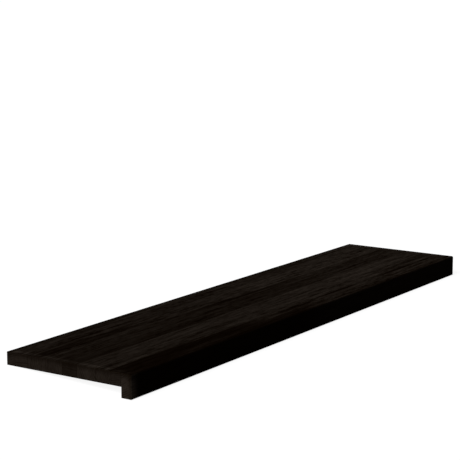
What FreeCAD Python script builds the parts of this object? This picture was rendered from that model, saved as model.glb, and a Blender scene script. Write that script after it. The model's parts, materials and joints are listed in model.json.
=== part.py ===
"""Edge-glued solid wood stair tread with a dropped nosing, lying at rest on a level floor.

The tread is a flat board of full-length staves, glued edge to edge, with a taller strip glued on
as its nosing. The strip reaches below the board and makes the lip that hooks over the front of a
step. After gluing, the whole tread is planed to one L-shaped section, sawn to length, and its
outer arrises are eased, so the glue lines are flush and the staves meet face to face.

Everything is drawn level first: the origin is at the middle of the length, on the back edge of
the top face, with the front towards -Y. The finished tread is then laid down as it lies unheld:
the lip lifts its front, and it leans back onto the lower arris of its back edge.
"""

import FreeCAD
import Part
import math
import os

# Driving dimensions, in millimetres
tread_length = 1200.0
board_thickness = 24.0
lip_drop = 19.0
nosing_width = 21.0

# Ripped widths of the staves, from the back edge towards the nosing
stave_1_width = 48.0
stave_2_width = 45.0
stave_3_width = 31.0
stave_4_width = 32.0
stave_5_width = 40.0
stave_6_width = 32.0
stave_7_width = 21.0

# Rounded edges
nosing_round = 3.0
arris_round = 1.0

# What the section is worked out from
stave_widths = (
    stave_1_width,
    stave_2_width,
    stave_3_width,
    stave_4_width,
    stave_5_width,
    stave_6_width,
    stave_7_width,
)
board_depth = sum(stave_widths)
tread_depth = board_depth + nosing_width
nosing_height = board_thickness + lip_drop

ALONG = FreeCAD.Vector(1, 0, 0)


def section():
    """The L-shaped section at the left end, as one face with its long arrises rounded."""
    left = -tread_length / 2
    corners = [
        # distance to the front, height, radius of the rounded corner
        (0.0, 0.0, arris_round),
        (0.0, -board_thickness, arris_round),
        (board_depth, -board_thickness, 0.0),
        (board_depth, -nosing_height, arris_round),
        (tread_depth, -nosing_height, arris_round),
        (tread_depth, 0.0, nosing_round),
    ]
    points = [FreeCAD.Vector(left, -forward, height) for forward, height, _ in corners]
    edges = []
    starts = []
    ends = []
    for index, (_, _, radius) in enumerate(corners):
        here = points[index]
        before = (points[index - 1] - here).normalize()
        after = (points[(index + 1) % len(points)] - here).normalize()
        start = here + before * radius
        end = here + after * radius
        starts.append(start)
        ends.append(end)
        if radius:
            centre = here + (before + after) * radius
            middle = centre + (here - centre).normalize() * radius
            edges.append(Part.Arc(start, middle, end).toShape())
    for index in range(len(points)):
        following = (index + 1) % len(points)
        edges.append(Part.LineSegment(ends[index], starts[following]).toShape())
    outline = Part.Wire(Part.__sortEdges__(edges))
    return Part.Face(outline)


def planed_tread():
    """The whole tread as planed and sawn to length, before it is told apart into its pieces."""
    body = section().extrude(ALONG * tread_length)
    half = tread_length / 2
    sawn_edges = []
    for edge in body.Edges:
        lies_on_end = abs(edge.BoundBox.XMax - edge.BoundBox.XMin) < arris_round / 2
        if lies_on_end and abs(abs(edge.CenterOfMass.x) - half) < arris_round / 2:
            sawn_edges.append(edge)
    return body.makeFillet(arris_round, sawn_edges)


def piece_between(body, back, front):
    """The part of the tread from one glue line to the next, given as distances to the front."""
    reach = body.BoundBox
    reach.enlarge(nosing_width)
    slab = Part.makeBox(
        reach.XLength,
        front - back,
        reach.ZLength,
        FreeCAD.Vector(reach.XMin, -front, reach.ZMin),
    )
    return body.common(slab).Solids[0]


def laid_down(shapes):
    """The pieces turned and moved together to where the tread lies on the floor by itself."""
    lean = math.degrees(math.atan2(lip_drop, board_depth))
    turned = []
    for shape in shapes:
        copy = shape.copy()
        copy.rotate(FreeCAD.Vector(0, 0, 0), ALONG, -lean)
        turned.append(copy)
    box = Part.Compound(turned).optimalBoundingBox(False, False)
    to_floor = FreeCAD.Vector(-box.Center.x, -box.Center.y, -box.ZMin)
    for shape in turned:
        shape.translate(to_floor)
    return turned


def main():
    body = planed_tread()
    names = []
    pieces = []
    back = 0.0
    for number, width in enumerate(stave_widths, 1):
        names.append(f"stave_{number}")
        pieces.append(piece_between(body, back, back + width))
        back += width
    names.append("nosing_strip")
    pieces.append(piece_between(body, back, back + nosing_width))
    os.makedirs("parts", exist_ok=True)
    for name, piece in zip(names, laid_down(pieces)):
        piece.exportStep(f"parts/{name}.step")


main()
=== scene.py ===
# A stair tread of black-stained oak: seven full-length staves, glued edge to edge, with a taller
# nosing strip glued along the front. It lies on a level floor, lip down.
import json
import math

import bmesh
import bpy
from mathutils import Euler, Matrix, Vector


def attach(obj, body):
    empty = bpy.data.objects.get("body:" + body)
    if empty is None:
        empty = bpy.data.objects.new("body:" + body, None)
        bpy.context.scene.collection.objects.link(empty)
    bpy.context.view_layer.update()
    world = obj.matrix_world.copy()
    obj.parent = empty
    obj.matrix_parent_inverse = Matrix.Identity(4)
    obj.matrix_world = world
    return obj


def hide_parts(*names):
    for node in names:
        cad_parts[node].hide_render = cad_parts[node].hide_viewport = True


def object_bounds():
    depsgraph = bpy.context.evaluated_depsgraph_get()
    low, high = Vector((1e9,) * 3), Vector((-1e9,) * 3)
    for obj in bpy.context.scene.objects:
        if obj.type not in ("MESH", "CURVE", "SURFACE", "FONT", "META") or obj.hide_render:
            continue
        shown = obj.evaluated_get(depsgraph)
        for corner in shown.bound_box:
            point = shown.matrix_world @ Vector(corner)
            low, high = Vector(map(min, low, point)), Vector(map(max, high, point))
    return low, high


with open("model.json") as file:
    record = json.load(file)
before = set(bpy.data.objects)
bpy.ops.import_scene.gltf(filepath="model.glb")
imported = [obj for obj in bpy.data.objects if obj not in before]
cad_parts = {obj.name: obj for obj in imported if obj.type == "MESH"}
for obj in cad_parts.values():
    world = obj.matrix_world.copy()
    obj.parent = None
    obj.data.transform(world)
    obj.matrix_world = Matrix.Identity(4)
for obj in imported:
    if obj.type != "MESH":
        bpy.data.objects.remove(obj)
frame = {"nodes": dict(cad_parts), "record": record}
cad_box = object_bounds()

# How the tread lies. The lip lifts its front, so it leans back onto the arris of its back edge.
# It is described in its own level axes: x along its length, y towards its back edge and z up, from
# the middle of the walking face. The mount on that face says where they lie in the frame.
walking_face = next(mount for mount in frame["record"]["mounts"] if mount["name"] == "walking_face")
face_middle = Vector(walking_face["pos_m"])
lean = math.atan2(walking_face["axis"][1], walking_face["axis"][2])
lying = Matrix.Translation(face_middle) @ Matrix.Rotation(-lean, 4, "X")
level = lying.inverted()

# The camera. It looks down on the near left end from the nosing side, along the photograph's line
# of sight, and keeps the tread at the photograph's place in the picture.
picture_width = 460
focal_length_in_pixels = 1547
film_width = 36
camera_place = Vector((-2.5396, -1.6280, 0.6811))
camera_dip = math.radians(10.234)
camera_heading = math.radians(-56.197)
camera_data = bpy.data.cameras.new("camera")
camera_data.sensor_width = film_width
camera_data.lens = focal_length_in_pixels / picture_width * film_width
camera = bpy.data.objects.new("camera", camera_data)
bpy.context.scene.collection.objects.link(camera)
camera_turn = Euler((math.radians(90) - camera_dip, 0, camera_heading))
camera.matrix_world = lying @ Matrix.LocRotScale(camera_place, camera_turn, None)
bpy.context.scene.camera = camera
bpy.context.scene.view_settings.view_transform = "Standard"

# The white surroundings. The floor and the world show white to the camera and in reflections, and
# light the tread only a little, so that the side turned away from the lamp stays dark. What the
# floor's glow lacks of white comes from the lamp, so that it shows the tread's shadow.
white = (1, 1, 1, 1)
world_fill = 0.18
floor_size = 60
floor_glow = 0.90
floor_colour = (0.14, 0.14, 0.14, 1)


def add_node(tree, kind, inputs=None, **settings):
    """Adds a node with its settings, and sets or wires each named input from a value or a socket."""
    node = tree.nodes.new(kind)
    for name, value in settings.items():
        setattr(node, name, value)
    for name, value in (inputs or {}).items():
        if isinstance(value, bpy.types.NodeSocket):
            tree.links.new(value, node.inputs[name])
        else:
            node.inputs[name].default_value = value
    return node


def number(tree, operation, first, second=0.0, **settings):
    """One step of arithmetic between numbers."""
    inputs = {0: first, 1: second}
    return add_node(tree, "ShaderNodeMath", inputs, operation=operation, **settings).outputs[0]


def seen_directly(tree):
    """1 for what the camera, a reflection or a pane of glass sees, and 0 for what lights the tread."""
    path = add_node(tree, "ShaderNodeLightPath").outputs
    seen = number(tree, "ADD", path["Is Camera Ray"], path["Is Glossy Ray"])
    return number(tree, "ADD", seen, path["Is Transmission Ray"], use_clamp=True)


world = bpy.data.worlds.new("white_studio")
world.use_nodes = True
world_tree = world.node_tree
world_tree.nodes.clear()
world_strength = add_node(world_tree, "ShaderNodeMapRange", {
    "Value": seen_directly(world_tree),
    "To Min": world_fill,
    "To Max": 1.0,
})
world_light = add_node(world_tree, "ShaderNodeBackground", {
    "Color": white,
    "Strength": world_strength.outputs[0],
})
add_node(world_tree, "ShaderNodeOutputWorld", {"Surface": world_light.outputs[0]})
bpy.context.scene.world = world

bpy.ops.object.select_all(action="DESELECT")
bpy.ops.mesh.primitive_plane_add(size=floor_size)
floor = bpy.context.object
floor.name = "floor"
floor_paint = bpy.data.materials.new("floor_paint")
floor_paint.use_nodes = True
floor_tree = floor_paint.node_tree
floor_tree.nodes.clear()
floor_diffuse = add_node(floor_tree, "ShaderNodeBsdfDiffuse", {"Color": floor_colour})
floor_emission = add_node(floor_tree, "ShaderNodeEmission", {
    "Color": white,
    "Strength": number(floor_tree, "MULTIPLY", seen_directly(floor_tree), floor_glow),
})
floor_surface = add_node(floor_tree, "ShaderNodeAddShader", {
    0: floor_diffuse.outputs[0],
    1: floor_emission.outputs[0],
})
add_node(floor_tree, "ShaderNodeOutputMaterial", {"Surface": floor_surface.outputs[0]})
floor.data.materials.append(floor_paint)

# One wide soft lamp. It stands beyond the near end and a little behind the tread, so the sawn end
# is the brightest side, the top comes next and the nosing's front turns its back to it.
lamp_direction = Vector((-1.10, 0.12, 0.85))
lamp_strength = 4.35
lamp_softness = math.radians(30)
lamp_data = bpy.data.lights.new("lamp", "SUN")
lamp_data.energy = lamp_strength
lamp_data.angle = lamp_softness
lamp = bpy.data.objects.new("lamp", lamp_data)
bpy.context.scene.collection.objects.link(lamp)
lamp.rotation_euler = lamp_direction.to_track_quat("Z", "Y").to_euler()

# The staves. Each is a strip of oak as long as the tread, ripped, planed and glued edge to edge
# with its neighbours. The whole tread was eased, brushed and stained after the gluing, so the glue
# lines are flush, and only the grain and the depth of the stain change from one to the next.
ALONG, ACROSS, UP = range(3)
arris_round = 0.001
arris_segments = 3
# The first loop lies this far from an arris, which leaves room to round it
arris_room = 2 * arris_round
square_edge = math.radians(40)
# Places this near to each other are the same place
hair = 0.00002


def level_box(name):
    """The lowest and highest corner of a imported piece, along the tread's level axes."""
    corners = [level @ vertex.co for vertex in frame["nodes"][name].data.vertices]
    low = Vector([min(corner[axis] for corner in corners) for axis in range(3)])
    high = Vector([max(corner[axis] for corner in corners) for axis in range(3)])
    return low, high


def select_edges(piece, wanted):
    """Selects, in edit mode, just the edges that are wanted."""
    bpy.ops.mesh.select_all(action="DESELECT")
    mesh = bmesh.from_edit_mesh(piece.data)
    for edge in mesh.edges:
        if wanted(edge):
            edge.select_set(True)
    bmesh.update_edit_mesh(piece.data)


def cut_loop(axis, place):
    """Cuts one loop round the whole strip, square to an axis."""
    bpy.ops.mesh.select_all(action="SELECT")
    square_to = Vector((0, 0, 0))
    square_to[axis] = 1
    bpy.ops.mesh.bisect(plane_co=square_to * place, plane_no=square_to)


# An edge with less slant than this runs along an axis. So many cuts are made at once, and a run
# that needs more is cut in two rounds.
least_slant = hair / 100
most_cuts_at_once = 100


def divide(piece, axis, low, high, cell):
    """Cuts loops, a cell apart, across the edges that run along an axis from one place to another."""
    def runs_along(edge):
        start, end = (corner.co for corner in edge.verts)
        span = end - start
        slant = span.length - abs(span[axis])
        from_place, to_place = sorted([start[axis], end[axis]])
        return from_place > low - hair and to_place < high + hair and slant < least_slant

    cells = round((high - low) / cell)
    rounds = 1 if cells <= most_cuts_at_once else 2
    for _ in range(rounds):
        select_edges(piece, runs_along)
        bpy.ops.mesh.subdivide(number_cuts=round(cells ** (1 / rounds)) - 1)


def sawn_strip(name, low, high, loops_across, loops_up):
    """Starts a strip as a block with loops near its arrises, where they can be eased, in edit mode."""
    bpy.ops.object.select_all(action="DESELECT")
    bpy.ops.mesh.primitive_cube_add(size=1, location=(low + high) / 2, scale=high - low)
    piece = bpy.context.object
    piece.name = name
    bpy.ops.object.transform_apply(location=True, rotation=True, scale=True)
    bpy.ops.object.mode_set(mode="EDIT")
    bpy.ops.mesh.select_mode(type="EDGE")
    near_ends = [low.x + arris_room, high.x - arris_room]
    for axis, places in ((ALONG, near_ends), (ACROSS, loops_across), (UP, loops_up)):
        for place in places:
            cut_loop(axis, place)
    return piece


def ease_arrises(piece, glued):
    """Rounds the square edges of a strip, all but those on its glue lines."""
    def is_open_arris(edge):
        middle = (edge.verts[0].co + edge.verts[1].co) / 2
        return edge.calc_face_angle(0) > square_edge and not glued(middle)

    select_edges(piece, is_open_arris)
    bpy.ops.mesh.bevel(offset=arris_round, segments=arris_segments, affect="EDGES")
    # A rounded arris that stops at a glue line leaves two corners in one place
    bpy.ops.mesh.select_all(action="SELECT")
    bpy.ops.mesh.remove_doubles(threshold=hair)


# The wood. Its figure is one pattern, built once for the brush, which sinks the grain by it, and
# once for the stain, which colours by it. Every strip places it with the growth of its own log.
growth_inputs = {"Heart": "Vector", "Run Off": "Vector", "Ring Width": "Float", "Seed": "Float"}


def growth(log):
    """How one log grew, under the names of the groups' inputs."""
    return {
        "Heart": log["heart"],
        "Run Off": log["run_off"],
        "Ring Width": log["ring_width"],
        "Seed": float(log["seed"]),
    }


def new_group(tree_kind, name, inputs, outputs):
    """An empty node group with its named sockets, what comes into it and what it puts out."""
    group = bpy.data.node_groups.new(name, tree_kind)
    for in_out, sockets in (("INPUT", inputs), ("OUTPUT", outputs)):
        for socket_name, kind in sockets.items():
            group.interface.new_socket(socket_name, in_out=in_out, socket_type="NodeSocket" + kind)
    given = add_node(group, "NodeGroupInput").outputs
    result = add_node(group, "NodeGroupOutput").inputs
    return group, given, result


def vector(tree, operation, first, second=(0, 0, 0)):
    """One step of arithmetic between vectors."""
    inputs = {0: first, 1: second}
    return add_node(tree, "ShaderNodeVectorMath", inputs, operation=operation).outputs["Vector"]


def scaled(tree, arrow, factor):
    """A vector times a number."""
    inputs = {"Vector": arrow, "Scale": factor}
    return add_node(tree, "ShaderNodeVectorMath", inputs, operation="SCALE").outputs["Vector"]


def length(tree, arrow):
    """How long a vector is."""
    return add_node(tree, "ShaderNodeVectorMath", {0: arrow}, operation="LENGTH").outputs["Value"]


def ramp(tree, value, start, end, low=0.0, high=1.0):
    """Goes smoothly from low to high while the value goes from start to end."""
    return add_node(tree, "ShaderNodeMapRange", {
        "Value": value,
        "From Min": start,
        "From Max": end,
        "To Min": low,
        "To Max": high,
    }, interpolation_type="SMOOTHSTEP").outputs[0]


def oak_figure(tree_kind, group_name):
    """How oak grows, as masks: the soft early wood of each ring, and what is drawn out along it."""
    # Waves to the metre along and across the grain, the detail of the noise, and the levels between
    # which it goes from none of the mask to all of it
    drawn_out = {
        "Flecks": (55.0, 260.0, 2.0, 0.36, 0.64),
        "Grain": (11.0, 210.0, 3.0, 0.38, 0.62),
        "Veins": (4.0, 130.0, 2.0, 0.56, 0.66),
        "Streaks": (4.2, 95.0, 3.0, 0.34, 0.66),
        "Mottle": (9.0, 34.0, 3.0, 0.30, 0.70),
        "Pores": (60.0, 1100.0, 1.0, 0.58, 0.72),
    }
    figure_inputs = {"Place": "Vector", **growth_inputs}
    masks_out = dict.fromkeys(["Early Wood", *drawn_out], "Float")
    group, given, result = new_group(tree_kind, group_name, figure_inputs, masks_out)
    # Each log's seed moves it to another part of the noise
    seed_step = (7.31, 3.17, 5.73)
    seeds = scaled(group, seed_step, given["Seed"])

    def noise(along, across, detail=2.0, output="Fac"):
        """Noise with so many waves to the metre along and across the grain."""
        waves = vector(group, "MULTIPLY", given["Place"], (along, across, across))
        spot = vector(group, "ADD", waves, seeds)
        noise_inputs = {"Vector": spot, "Scale": 1.0, "Detail": detail}
        return add_node(group, "ShaderNodeTexNoise", noise_inputs).outputs[output]

    # The rings lie round a heart line, which runs off a little along the log and wanders
    noise_mean = 0.5
    wander_waves = 2.6
    wander_reach = 0.022
    ripple_waves = (9.0, 60.0)
    ripple_reach = 0.0045
    along = add_node(group, "ShaderNodeSeparateXYZ", {0: given["Place"]}).outputs["X"]
    run_off = scaled(group, given["Run Off"], along)
    wander = noise(wander_waves, 0, output="Color")
    wander = vector(group, "SUBTRACT", wander, (noise_mean, noise_mean, noise_mean))
    wander = vector(group, "MULTIPLY", wander, (0, wander_reach, wander_reach))
    heart = vector(group, "ADD", given["Heart"], vector(group, "ADD", run_off, wander))
    from_heart = vector(group, "MULTIPLY", given["Place"], (0, 1, 1))
    from_heart = vector(group, "SUBTRACT", from_heart, heart)
    ripple = number(group, "SUBTRACT", noise(*ripple_waves), noise_mean)
    ripple = number(group, "MULTIPLY", ripple, ripple_reach)
    rings = number(group, "ADD", length(group, from_heart), ripple)
    rings = number(group, "DIVIDE", rings, given["Ring Width"])

    # Each ring goes from soft early wood to hard late wood, and some years grew more than others
    early_wood_ends = 0.6
    next_ring_starts = 0.88
    poorest_year = 0.25
    years_between_logs = 31.0
    ring_part = number(group, "FRACT", rings)
    year = number(group, "MULTIPLY", given["Seed"], years_between_logs)
    year = number(group, "ADD", number(group, "FLOOR", rings), year)
    white_noise = add_node(group, "ShaderNodeTexWhiteNoise", {"W": year}, noise_dimensions="1D")
    vigour = ramp(group, white_noise.outputs["Value"], 0.0, 1.0, poorest_year, 1.0)
    early_wood = ramp(group, ring_part, 0.0, early_wood_ends, 1.0, 0.0)
    early_wood = number(group, "MAXIMUM", early_wood, ramp(group, ring_part, next_ring_starts, 1.0))
    early_wood = number(group, "MULTIPLY", early_wood, vigour)

    masks = {"Early Wood": early_wood}
    for name, (waves_along, waves_across, detail, none, full) in drawn_out.items():
        masks[name] = ramp(group, noise(waves_along, waves_across, detail), none, full)
    # The wide pores stand in the early wood, and few in the late wood
    late_wood_pores = 0.35
    all_pores_from = 0.7
    pore_share = ramp(group, early_wood, 0.0, all_pores_from, late_wood_pores, 1.0)
    masks["Pores"] = number(group, "MULTIPLY", masks["Pores"], pore_share)
    for name, mask in masks.items():
        group.links.new(mask, result[name])
    return group


def brushed_surface():
    """Geometry nodes that sink the soft early wood below the hard late wood, as a wire brush does."""
    brushed_depth = 0.00016
    grain_share = 0.35
    tree, given, result = new_group("GeometryNodeTree", "brushed_surface", {
        "Geometry": "Geometry",
        "Middle": "Vector",
        **growth_inputs,
        "Open Sides": "Vector",
    }, {"Geometry": "Geometry"})
    tree.is_modifier = True
    position = add_node(tree, "GeometryNodeInputPosition").outputs[0]
    normal = add_node(tree, "GeometryNodeInputNormal").outputs[0]
    figure = add_node(tree, "GeometryNodeGroup", {
        "Place": vector(tree, "SUBTRACT", position, given["Middle"]),
        **{name: given[name] for name in growth_inputs},
    }, node_tree=oak_figure("GeometryNodeTree", "oak_figure_for_shape")).outputs
    # Only the top is brushed, where z is 1, and a bare long edge: y is 1 for the back edge, -1 for
    # the nosing's front, and 0 for a stave between two glue lines
    bare_side = vector(tree, "MULTIPLY", normal, given["Open Sides"])
    bare_side = vector(tree, "MAXIMUM", bare_side, (0, 0, 0))
    outward = vector(tree, "MULTIPLY", bare_side, given["Open Sides"])
    soft = number(tree, "MULTIPLY", figure["Grain"], grain_share)
    soft = number(tree, "ADD", figure["Early Wood"], soft)
    sink = scaled(tree, outward, number(tree, "MULTIPLY", soft, -brushed_depth))
    shaped = add_node(tree, "GeometryNodeSetPosition", {"Geometry": given["Geometry"], "Offset": sink})
    tree.links.new(shaped.outputs[0], result["Geometry"])
    return tree


brushed = brushed_surface()

# The stain. It was brushed on black-brown and wiped, and lies thinner in some places than in others;
# some of that is painted light and shade, as said where it is laid.
# A thinness of 0 shows the full stain and 1 the thin one, and past 1 the wood shows through further.
stain_full = (0.0017, 0.0006, 0.0, 1)
stain_thin = (0.0135, 0.0102, 0.0078, 1)
thinnest = 2.6
endless = 1000
half_length = (cad_box[1][0] - cad_box[0][0]) / 2


def strip_sides():
    """Masks for the sides of a strip, by how squarely the surface faces along each axis."""
    side_starts = 0.55
    side_is_full = 0.85
    side_names = {"Sawn End": "X", "Long Edge": "Y", "Flat": "Z"}
    group, given, result = new_group(
        "ShaderNodeTree", "strip_sides", {"Normal": "Vector"}, dict.fromkeys(side_names, "Float")
    )
    facing = vector(group, "ABSOLUTE", given["Normal"])
    facing = add_node(group, "ShaderNodeSeparateXYZ", {0: facing}).outputs
    for name, axis in side_names.items():
        group.links.new(ramp(group, facing[axis], side_starts, side_is_full), result[name])
    return group


def blend(tree, mask, low, high):
    """Goes evenly from low to high with a mask. Mix sockets share names, so they go by number."""
    return add_node(tree, "ShaderNodeMix", {0: mask, 2: low, 3: high}, data_type="FLOAT").outputs[0]


def stain_coat():
    """How thin the stain lies on a strip, before its grain takes it up, with painted light and shade
    laid into it.
    """
    group, given, result = new_group("ShaderNodeTree", "stain_coat", {
        "Place": "Vector",
        "Sawn End": "Float",
        "Long Edge": "Float",
        "Flat": "Float",
        "Thin Near": "Float",
        "Thin Far": "Float",
        "Turn Start": "Float",
        "Turn End": "Float",
        "Thin Sawn": "Float",
    }, {"Thinness": "Float"})
    place = add_node(group, "ShaderNodeSeparateXYZ", {0: given["Place"]}).outputs
    along = place["X"]

    # The sawn ends are darker towards the top arris and lighter further down
    sawn_at_arris = 0.40
    sawn_top, sawn_foot = 0.001, -0.011
    sawn_side = ramp(group, place["Z"], sawn_foot, sawn_top, 1.0, sawn_at_arris)
    sawn_side = number(group, "MULTIPLY", sawn_side, given["Thin Sawn"])

    # The long edges are painted darker than the top, as painted shade: the nosing's front turns away
    # from the lamp. Each is painted lighter at its left end, low down most, as painted light wrapping
    # round from the lamp's end.
    long_edge_share = 0.45
    painted_corner_light_thinness = 2.0
    painted_corner_light_reach = 0.021
    painted_corner_light_at_arris = 0.25
    painted_corner_light_top, painted_corner_light_foot = -0.002, -0.026
    from_left = number(group, "ADD", along, half_length)
    near_to_far = (given["Turn Start"], given["Turn End"], given["Thin Near"], given["Thin Far"])
    long_side = ramp(group, along, *near_to_far)
    painted_shade_on_edges = blend(group, given["Long Edge"], 1.0, long_edge_share)
    long_side = number(group, "MULTIPLY", long_side, painted_shade_on_edges)
    # Painted light at the left end of each long edge, where the lamp's light wraps round the corner
    # from the sawn end, with less of it up towards the top arris
    painted_corner_light = ramp(group, from_left, 0.0, painted_corner_light_reach, painted_corner_light_thinness, 0.0)
    low_down = ramp(group, place["Z"], painted_corner_light_foot, painted_corner_light_top, 1.0, painted_corner_light_at_arris)
    painted_corner_light = number(group, "MULTIPLY", painted_corner_light, low_down)
    long_side = number(group, "ADD", long_side, number(group, "MULTIPLY", painted_corner_light, given["Long Edge"]))

    thinness = blend(group, given["Sawn End"], long_side, sawn_side)

    # A pale band runs across the top just in from each sawn end. It is a painted highlight, standing
    # in for the light on the top where it rounds over into the end.
    band_starts, band_full = 0.002, 0.007
    band_fades, band_ends = 0.010, 0.018
    band_strength = 0.85
    from_end = number(group, "SUBTRACT", half_length, number(group, "ABSOLUTE", along))
    painted_highlight_band = ramp(group, from_end, band_starts, band_full)
    painted_highlight_band = number(group, "MULTIPLY", painted_highlight_band, ramp(group, from_end, band_fades, band_ends, 1.0, 0.0))
    painted_highlight_band = number(group, "MULTIPLY", painted_highlight_band, number(group, "MULTIPLY", given["Flat"], band_strength))
    with_painted_highlight = number(group, "ADD", painted_highlight_band, 1.0)
    group.links.new(number(group, "MULTIPLY", thinness, with_painted_highlight), result["Thinness"])
    return group


def grain_uptake():
    """How the grain took up the stain, as a factor on its thinness, and the relief of the pores."""
    # For each mask its middle value, and how far it thins the stain on the long sides and sawn ends
    shares = {
        "Early Wood": (0.3, -0.35, -0.75),
        "Pores": (0.1, -0.35, -0.20),
        "Flecks": (0.5, -0.80, -0.15),
        "Grain": (0.5, -0.70, -0.15),
        "Veins": (0.15, -0.70, 0.0),
        "Streaks": (0.5, 0.40, 0.24),
        "Mottle": (0.5, 0.50, 0.20),
    }
    long_edge_share = 0.35
    grain_relief = 0.5
    group, given, result = new_group("ShaderNodeTree", "grain_uptake", {
        "Place": "Vector",
        "Middle": "Vector",
        **growth_inputs,
        "Bold": "Float",
        "Sawn End": "Float",
        "Long Edge": "Float",
    }, dict.fromkeys(["Uptake", "Streaks", "Pores", "Relief"], "Float"))
    figure = add_node(group, "ShaderNodeGroup", {
        "Place": vector(group, "SUBTRACT", given["Place"], given["Middle"]),
        **{name: given[name] for name in growth_inputs},
    }, node_tree=oak_figure("ShaderNodeTree", "oak_figure_for_colour")).outputs
    uptake = 1.0
    quieter = blend(group, given["Long Edge"], 1.0, long_edge_share)
    for name, (middle_value, on_long_sides, on_sawn_ends) in shares.items():
        strength = number(group, "MULTIPLY", given["Bold"], on_long_sides)
        strength = blend(group, given["Sawn End"], strength, on_sawn_ends)
        strength = number(group, "MULTIPLY", strength, quieter)
        share = number(group, "SUBTRACT", figure[name], middle_value)
        uptake = number(group, "ADD", uptake, number(group, "MULTIPLY", share, strength))
    relief = number(group, "MULTIPLY", figure["Grain"], grain_relief)
    relief = number(group, "ADD", figure["Pores"], relief)
    for name, value in (
        ("Uptake", uptake),
        ("Streaks", figure["Streaks"]),
        ("Pores", figure["Pores"]),
        ("Relief", relief),
    ):
        group.links.new(value, result[name])
    return group


def stain_and_shade_mark():
    """One soft oval mark that makes the stain lighter or darker, as a factor on its thinness; most are
    marks in the stain, and some are painted shade.
    """
    mark_full, mark_ends = 0.35, 1.1
    group, given, result = new_group("ShaderNodeTree", "stain_and_shade_mark", {
        "Place": "Vector",
        "Middle": "Vector",
        "Reach": "Vector",
        "Warp": "Float",
        "Strength": "Float",
        "Side": "Float",
    }, {"Uptake": "Float"})
    spot = vector(group, "SUBTRACT", given["Place"], given["Middle"])
    spot = vector(group, "DIVIDE", spot, given["Reach"])
    spread = number(group, "ADD", length(group, spot), given["Warp"])
    mark = ramp(group, spread, mark_ends, mark_full, 0.0, given["Strength"])
    mark = number(group, "MULTIPLY", mark, given["Side"])
    group.links.new(number(group, "ADD", mark, 1.0), result["Uptake"])
    return group


def glue_hairline():
    """The dark hairline along a glue line, as a factor on the stain's thinness."""
    line_full, line_ends = 0.0002, 0.0007
    on_long_sides, on_sawn_ends = -0.25, -0.55
    group, given, result = new_group("ShaderNodeTree", "glue_hairline", {
        "Place": "Vector",
        "Glue Line": "Float",
        "Sawn End": "Float",
    }, {"Uptake": "Float"})
    across = add_node(group, "ShaderNodeSeparateXYZ", {0: given["Place"]}).outputs["Y"]
    from_line = number(group, "ABSOLUTE", number(group, "SUBTRACT", across, given["Glue Line"]))
    line = ramp(group, from_line, line_full, line_ends, 1.0, 0.0)
    strength = blend(group, given["Sawn End"], on_long_sides, on_sawn_ends)
    line = number(group, "MULTIPLY", line, strength)
    group.links.new(number(group, "ADD", line, 1.0), result["Uptake"])
    return group


sides_group = strip_sides()
coat_group = stain_coat()
uptake_group = grain_uptake()
mark_group = stain_and_shade_mark()
hairline_group = glue_hairline()


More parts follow.
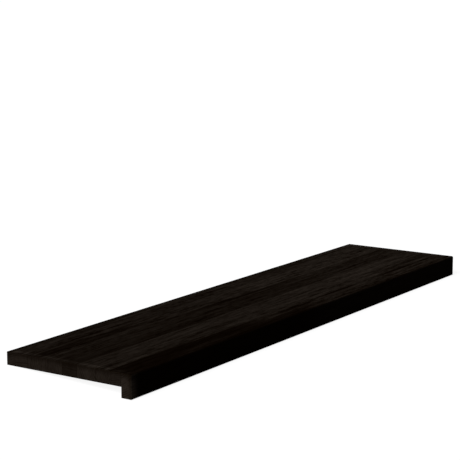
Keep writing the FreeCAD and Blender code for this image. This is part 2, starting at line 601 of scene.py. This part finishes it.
def stained_oak(name, middle, glue_lines, log):
    """The finish of one strip: its own growth, under a black-brown stain that took unevenly."""
    material = bpy.data.materials.new(name)
    material.use_nodes = True
    tree = material.node_tree
    shader = tree.nodes["Principled BSDF"]
    shader.inputs["Specular IOR Level"].default_value = 0.0

    def group_node(group, inputs):
        return add_node(tree, "ShaderNodeGroup", inputs, node_tree=group).outputs

    # The place is given along the tread's own level axes, as the marks are
    coordinates = add_node(tree, "ShaderNodeTexCoord").outputs
    place = add_node(tree, "ShaderNodeMapping", {
        "Vector": coordinates["Object"],
        "Location": face_middle,
        "Rotation": (-lean, 0, 0),
    }, vector_type="TEXTURE").outputs[0]
    sides = group_node(sides_group, {"Normal": coordinates["Normal"]})
    coat = group_node(coat_group, {
        "Place": place,
        "Sawn End": sides["Sawn End"],
        "Long Edge": sides["Long Edge"],
        "Flat": sides["Flat"],
        "Thin Near": log["near"],
        "Thin Far": log["far"],
        "Turn Start": log["turn"][0],
        "Turn End": log["turn"][1],
        "Thin Sawn": log["sawn"],
    })
    grain = group_node(uptake_group, {
        "Place": place,
        "Middle": middle,
        **growth(log),
        "Bold": log["bold"],
        "Sawn End": sides["Sawn End"],
        "Long Edge": sides["Long Edge"],
    })
    factors = [grain["Uptake"]]

    # A mark on the top is frayed by the streaks of the grain, and one on a sawn end is not
    fraying = 0.45
    frayed = ramp(tree, grain["Streaks"], 0.0, 1.0, -fraying, fraying)
    for (x, y), (reach_along, reach_across), strength in log.get("marks", ()):
        factors.append(group_node(mark_group, {
            "Place": place,
            "Middle": (x, y, 0),
            "Reach": (reach_along, reach_across, endless),
            "Warp": frayed,
            "Strength": strength,
            "Side": sides["Flat"],
        })["Uptake"])
    for (y, z), (reach_across, reach_up), strength in log.get("end_marks", ()):
        factors.append(group_node(mark_group, {
            "Place": place,
            "Middle": (0, y, z),
            "Reach": (endless, reach_across, reach_up),
            "Strength": strength,
            "Side": sides["Sawn End"],
        })["Uptake"])
    for glue_line in glue_lines:
        factors.append(group_node(hairline_group, {
            "Place": place,
            "Glue Line": glue_line,
            "Sawn End": sides["Sawn End"],
        })["Uptake"])

    taken = factors[0]
    for factor in factors[1:]:
        taken = number(tree, "MULTIPLY", taken, factor)
    thin = number(tree, "MULTIPLY", coat["Thinness"], taken)
    thin = add_node(tree, "ShaderNodeClamp", {"Value": thin, "Min": 0.0, "Max": thinnest}).outputs[0]
    colour = add_node(tree, "ShaderNodeMix", {
        0: thin,
        6: stain_full,
        7: stain_thin,
    }, data_type="RGBA", clamp_factor=False).outputs[2]
    tree.links.new(colour, shader.inputs["Base Color"])

    # The pores are open and rough, and they and the soft grain lie a little below the surface
    rough_between, rough_in_pores = 0.72, 0.95
    relief_depth = 0.0002
    relief_strength = 0.5
    roughness = ramp(tree, grain["Pores"], 0.0, 1.0, rough_between, rough_in_pores)
    tree.links.new(roughness, shader.inputs["Roughness"])
    bump = add_node(tree, "ShaderNodeBump", {
        "Height": grain["Relief"],
        "Strength": relief_strength,
        "Distance": relief_depth,
    }, invert=True)
    tree.links.new(bump.outputs[0], shader.inputs["Normal"])
    return material


# How each stave grew: where the heart of its log lay from the middle of the stave, how far that
# runs off in a metre, and its ring width. Then how thin the stain lies near the left end and far
# towards the right, where along the tread the one turns into the other, and on the sawn end; and
# how boldly the grain shows. Each mark on the top has its middle, its reach along and across, and
# how much thinner the stain is there, or thicker where that is less than nothing.
# On every stave the stain lies thinner far towards the right than near the left end. That rise is
# partly the stain's own tone and partly painted sheen, as the top is seen more glancingly further from
# the camera.
stave_logs = {
    "stave_1": dict(
        heart=(0, -0.012, -0.070), run_off=(0, 0.006, 0.020), ring_width=0.0042, seed=1,
        near=0.44, far=0.58, turn=(0.18, 0.58), sawn=0.71, bold=1.15,
    ),
    "stave_2": dict(
        heart=(0, 0.090, 0.025), run_off=(0, -0.020, 0.008), ring_width=0.0040, seed=2,
        near=0.42, far=0.68, turn=(-0.27, 0.23), sawn=0.71, bold=1.10,
        marks=(
            ((-0.530, 0.0720), (0.240, 0.0170), -0.52),
            ((-0.330, 0.0730), (0.090, 0.0028), -0.50),
        ),
    ),
    "stave_3": dict(
        heart=(0, -0.080, -0.020), run_off=(0, 0.012, -0.010), ring_width=0.0036, seed=3,
        near=0.30, far=0.41, turn=(0.01, 0.31), sawn=0.65, bold=1.10,
        marks=(
            ((-0.045, 0.0380), (0.220, 0.0035), -0.60),
            ((-0.014, 0.0240), (0.030, 0.0025), -0.60),
            ((0.186, 0.0290), (0.026, 0.0020), -0.55),
            ((0.156, 0.0400), (0.040, 0.0022), -0.45),
        ),
    ),
    "stave_4": dict(
        heart=(0, 0.005, -0.090), run_off=(0, 0.004, 0.022), ring_width=0.0048, seed=4,
        near=0.27, far=0.42, turn=(0.00, 0.40), sawn=0.37, bold=1.10,
        marks=(
            ((-0.560, -0.0120), (0.260, 0.0140), -0.28),
            ((-0.500, -0.0165), (0.240, 0.0050), -0.50),
            ((-0.015, 0.0020), (0.024, 0.0028), -0.70),
            ((-0.030, -0.0100), (0.020, 0.0024), -0.55),
            ((0.130, 0.0040), (0.012, 0.0030), -0.50),
            ((0.152, -0.0020), (0.012, 0.0030), -0.50),
            ((0.174, -0.0070), (0.012, 0.0030), -0.50),
        ),
    ),
    "stave_5": dict(
        heart=(0, -0.085, 0.030), run_off=(0, 0.016, -0.018), ring_width=0.0044, seed=5,
        near=0.61, far=0.86, turn=(-0.03, 0.27), sawn=0.73, bold=0.72,
        marks=(((0.590, -0.0410), (0.120, 0.0350), -0.30),),
    ),
    "stave_6": dict(
        heart=(0, 0.075, -0.020), run_off=(0, -0.012, 0.010), ring_width=0.0034, seed=6,
        near=0.46, far=0.68, turn=(-0.35, 0.15), sawn=0.67, bold=0.95,
        marks=(
            ((-0.480, -0.0825), (0.270, 0.0045), 0.80),
            ((-0.600, -0.0930), (0.380, 0.0070), -0.85),
            ((0.580, -0.0770), (0.140, 0.0300), -0.40),
        ),
    ),
    "stave_7": dict(
        heart=(0, -0.010, -0.065), run_off=(0, 0.010, 0.014), ring_width=0.0038, seed=7,
        near=0.06, far=0.50, turn=(-0.25, -0.07), sawn=0.61, bold=1.20,
        marks=(
            ((-0.600, -0.1035), (0.050, 0.0250), 1.40),
            ((-0.075, -0.1090), (0.110, 0.0120), -0.70),
            ((0.145, -0.0960), (0.125, 0.0050), -0.90),
            ((0.390, -0.0970), (0.090, 0.0065), -0.85),
        ),
    ),
}


def finish_strip(piece, name, open_sides, glue_lines, log):
    """Brushes a strip's open faces, lays it where the tread lies, and stains it."""
    low, high = level_box(name)
    middle = Vector((0, (low.y + high.y) / 2, (low.z + high.z) / 2))
    brush = piece.modifiers.new("brush", "NODES")
    brush.node_group = brushed
    given = {"Middle": middle, **growth(log), "Open Sides": open_sides}
    for socket in brushed.interface.items_tree:
        if socket.name in given:
            brush[socket.identifier] = given[socket.name]
    bpy.ops.object.modifier_apply(modifier=brush.name)
    piece.matrix_world = lying
    bpy.ops.object.transform_apply(location=True, rotation=True, scale=True)
    bpy.ops.object.shade_smooth_by_angle(angle=square_edge)
    piece.data.materials.append(stained_oak(name + "_stained_oak", middle, glue_lines, log))
    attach(piece, "root")
    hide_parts(name)


# Cells fine enough across the grain for the brush to follow it. The staves' sides need few, because
# they are glued, and the back edge shows little of its grain.
cell_along = 0.0047
cell_across = 0.00078
stave_cell_up = 0.0033
for name, log in stave_logs.items():
    low, high = level_box(name)
    at_the_back = name == "stave_1"
    last_loop = high.y - arris_room if at_the_back else high.y
    loops_across = [last_loop] if at_the_back else []
    glue_lines = [low.y] if at_the_back else [low.y, high.y]
    open_sides = (0, 1 if at_the_back else 0, 1)
    loops_up = [low.z + arris_room, high.z - arris_room]
    stave = sawn_strip("oak_" + name, low, high, loops_across, loops_up)
    divide(stave, ACROSS, low.y, last_loop, cell_across)
    divide(stave, UP, *loops_up, stave_cell_up)
    divide(stave, ALONG, low.x + arris_room, high.x - arris_room, cell_along)
    ease_arrises(stave, lambda place: any(abs(place.y - line) < hair for line in glue_lines))
    bpy.ops.object.mode_set(mode="OBJECT")
    finish_strip(stave, name, open_sides, glue_lines, log)

# The nosing strip. A taller strip of the same oak, glued along the front of the board with its top
# flush and its foot below the board, where it makes the lip that hooks over the front of a step.
# Its upper front edge is rounded for the foot, and its other arrises are eased like the board's.
nosing_round = 0.003
nosing_segments = 5
nosing_room = 2 * nosing_round
nosing_cell_up = 0.001
# The nosing's stain, too, lies thinner towards the right, partly as painted sheen.
nosing_log = dict(
    heart=(0, 0.040, 0.055), run_off=(0, 0.005, -0.012), ring_width=0.0034, seed=8,
    near=0.11, far=0.45, turn=(-0.07, 0.07), sawn=0.92, bold=1.30,
    marks=(
        # The first mark is painted shade: a dark band along the whole top of the nose, where its
        # rounded front edge turns away from the lamp
        ((0.000, -0.1350), (3.000, 0.0072), -0.75),
        ((-0.600, -0.1200), (0.045, 0.0120), 1.00),
        ((-0.520, -0.1220), (0.160, 0.0300), -0.45),
        ((0.500, -0.1210), (0.140, 0.0050), -0.60),
    ),
    # Across and up, on the sawn ends. These are painted shade, darkening the nosing's sawn end towards
    # its front edge and its top front corner, where the corner turns away from the lamp.
    end_marks=(
        ((-0.138, 0.0000), (0.010, endless), -0.45),
        ((-0.133, 0.0020), (0.022, 0.0220), -0.42),
    ),
)
low, high = level_box("nosing_strip")
near_front = low.y + nosing_room
near_lip_back = high.y - arris_room
near_foot = low.z + arris_room
under_board = level_box("stave_7")[0].z
under_nose = high.z - nosing_room
loops_across = [near_front, near_lip_back]
loops_up = [near_foot, under_board, under_nose]
nosing = sawn_strip("oak_nosing_strip", low, high, loops_across, loops_up)
divide(nosing, ACROSS, near_front, near_lip_back, cell_across)
divide(nosing, UP, near_foot, under_board, nosing_cell_up)
divide(nosing, UP, under_board, under_nose, nosing_cell_up)
divide(nosing, ALONG, low.x + arris_room, high.x - arris_room, cell_along)

# The upper front edge first, and then the other arrises, all but those on the glue line
select_edges(nosing, lambda edge: all(
    corner.co.y < low.y + hair and corner.co.z > high.z - hair for corner in edge.verts
))
bpy.ops.mesh.bevel(offset=nosing_round, segments=nosing_segments, affect="EDGES")
ease_arrises(nosing, lambda place: place.y > high.y - hair and place.z > under_board - hair)
bpy.ops.object.mode_set(mode="OBJECT")
open_sides = (0, -1, 1)
glue_lines = [high.y]
finish_strip(nosing, "nosing_strip", open_sides, glue_lines, nosing_log)
